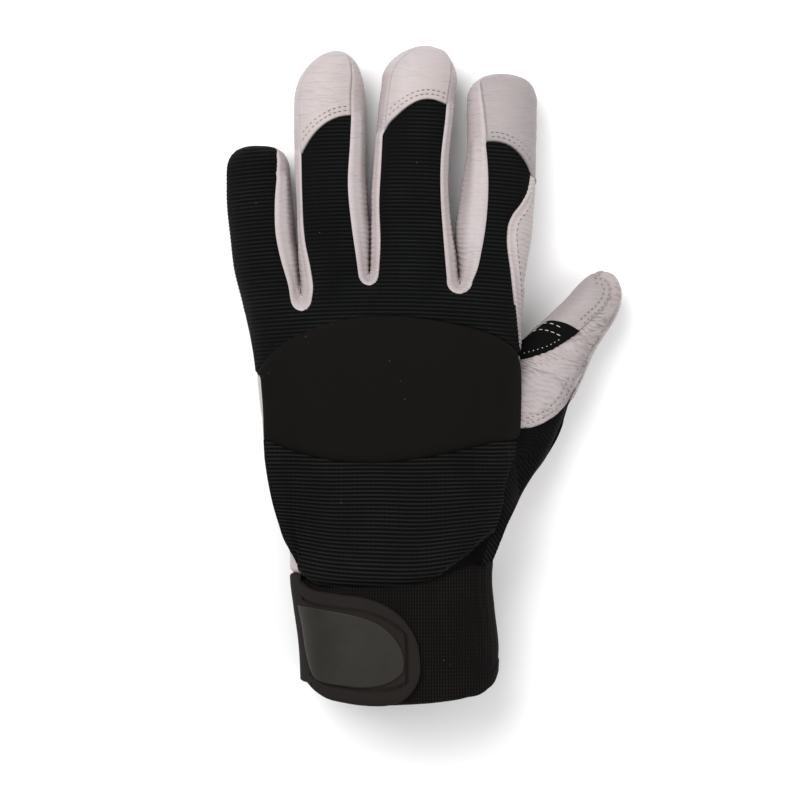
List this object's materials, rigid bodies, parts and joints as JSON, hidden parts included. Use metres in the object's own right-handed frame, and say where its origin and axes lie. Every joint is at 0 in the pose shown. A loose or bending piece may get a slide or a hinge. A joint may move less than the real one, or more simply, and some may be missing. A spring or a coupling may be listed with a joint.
{
  "type": "leather gardening glove",
  "caption": "Left-hand gardening glove with a leather palm, finger caps and thumb, a ribbed stretch back, a padded knuckle panel, an elastic cuff and a hook-and-loop wrist tab.",
  "frame": {"origin": "centre of the footprint, on the surface that the palm rests on", "axes": "+X towards the thumb side, +Y towards the fingertips, +Z out of the back of the hand"},
  "size_m": [0.1486, 0.25, 0.0486],
  "materials": {
    "white_leather": "soft grained, satin",
    "ribbed_knit": "ribbed knit, matt",
    "black_synthetic": "matt, stitched",
    "neoprene": "smooth jersey-faced foam, matt",
    "cuff_elastic": "fine loop elastic, matt",
    "strap_fabric": "bound edge, matt",
    "badge_rubber": "smooth, satin, bare"
  },
  "bodies": {
    "root": {"back_knit": "ribbed_knit", "knuckle_pad": "neoprene", "lower_back_knit": "ribbed_knit", "side_gusset": "ribbed_knit", "palm_leather": "white_leather", "fourchette_little_ring": "white_leather", "fourchette_ring_middle": "white_leather", "fourchette_middle_index": "white_leather", "index_side": "white_leather", "ring_cap": "white_leather", "middle_cap": "white_leather", "index_cap": "white_leather", "thumb_front": "white_leather", "thumb_patch": "black_synthetic", "thumb_back": "white_leather", "cuff": "cuff_elastic", "strap": "strap_fabric", "badge": "badge_rubber"}
  },
  "joints": []
}
